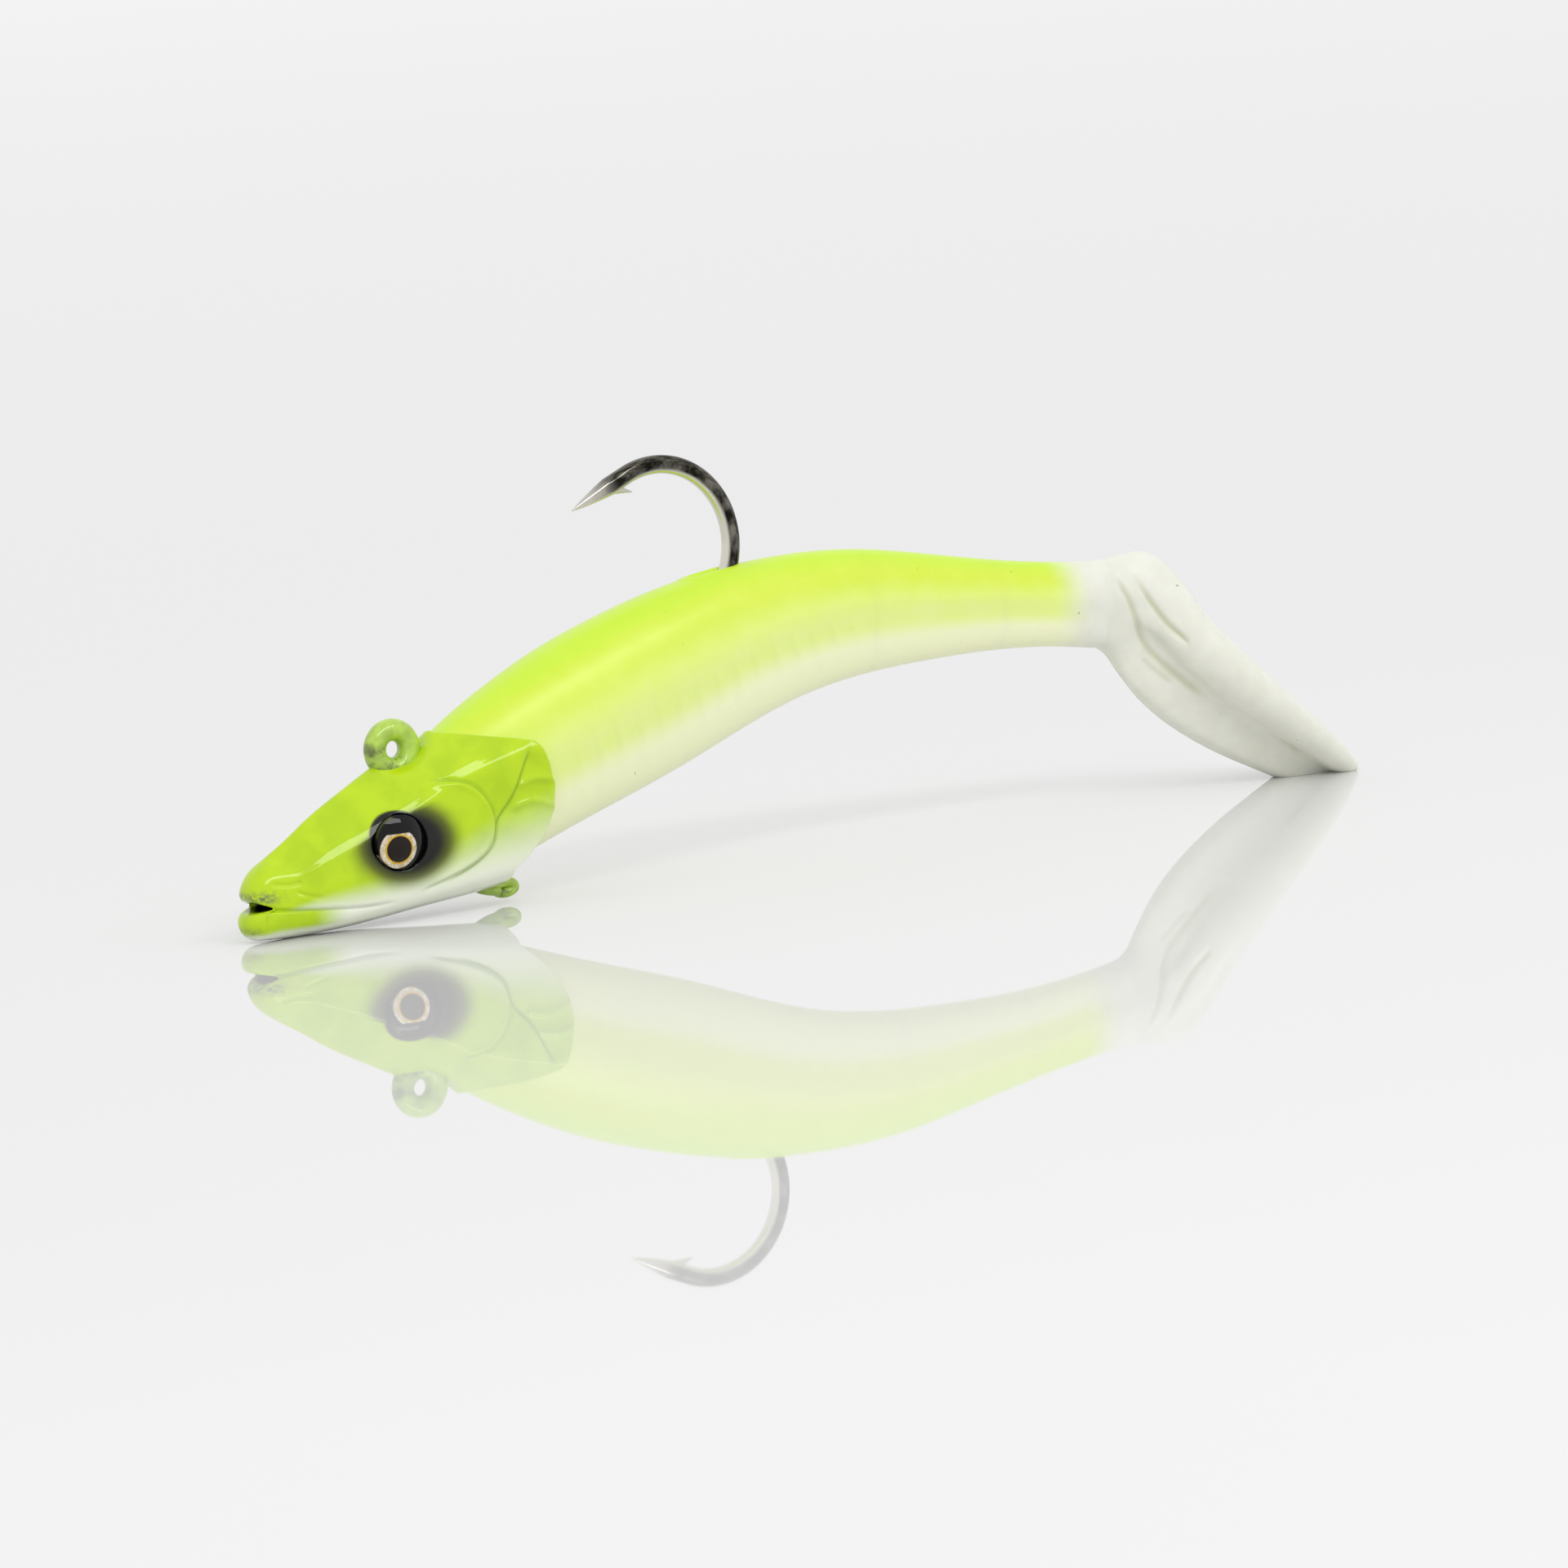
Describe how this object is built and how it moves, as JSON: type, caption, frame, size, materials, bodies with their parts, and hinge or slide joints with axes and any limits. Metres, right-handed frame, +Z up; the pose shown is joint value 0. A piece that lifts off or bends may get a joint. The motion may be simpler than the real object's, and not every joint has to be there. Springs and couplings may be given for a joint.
{
  "type": "swimbait",
  "caption": "Sandeel-style soft swimbait on a cast jig head, with a domed eye each side, top line tie, throat ring, upturned hook and a sloping oval paddle tail that swings.",
  "frame": {"origin": "under the middle of the lure's length, on the surface it stands on", "axes": "+X towards the tail, +Z up, towards the hook's point; mirror-symmetric about Y = 0"},
  "size_m": [0.1252, 0.0138, 0.0394],
  "materials": {
    "head_paint": "airbrushed lime over white under a glossy clear coat",
    "wire_paint": "glossy paint over stainless wire",
    "hook_nickel": "black nickel plating",
    "eye_foil": "printed reflective foil",
    "eye_epoxy": "clear domed epoxy",
    "soft_body": "satin translucent soft plastic",
    "soft_tail": "satin translucent soft plastic"
  },
  "bodies": {
    "head": {"head_casting": "head_paint", "tow_wire": "wire_paint", "jig_hook": "hook_nickel", "eye_foil_left": "eye_foil", "eye_foil_right": "eye_foil", "eye_lens_left": "eye_epoxy", "eye_lens_right": "eye_epoxy", "body_front": "soft_body"},
    "middle": {"body_middle": "soft_body"},
    "rear": {"body_rear": "soft_body"},
    "wrist": {"tail_wrist": "soft_tail"},
    "tail": {"tail_paddle": "soft_tail"}
  },
  "joints": [
    {"name": "front_bend", "type": "hinge", "parent": "head", "child": "middle", "pos_m": [-0.00105, 0, 0.0219], "axis": [0, 0, 1], "range_deg": [-16, 16], "stiffness_Nm_per_rad": 0.05},
    {"name": "rear_bend", "type": "hinge", "parent": "middle", "child": "rear", "pos_m": [0.01445, 0, 0.0214], "axis": [0, 0, 1], "range_deg": [-16, 16], "stiffness_Nm_per_rad": 0.03},
    {"name": "tail_swing", "type": "hinge", "parent": "rear", "child": "wrist", "pos_m": [0.02905, 0, 0.0203], "axis": [0, 0, 1], "range_deg": [-32, 32], "stiffness_Nm_per_rad": 0.015},
    {"name": "tail_pitch", "type": "hinge", "parent": "wrist", "child": "tail", "pos_m": [0.03665, 0, 0.0188], "axis": [0, 1, 0], "range_deg": [-12, 12], "stiffness_Nm_per_rad": 0.02}
  ]
}
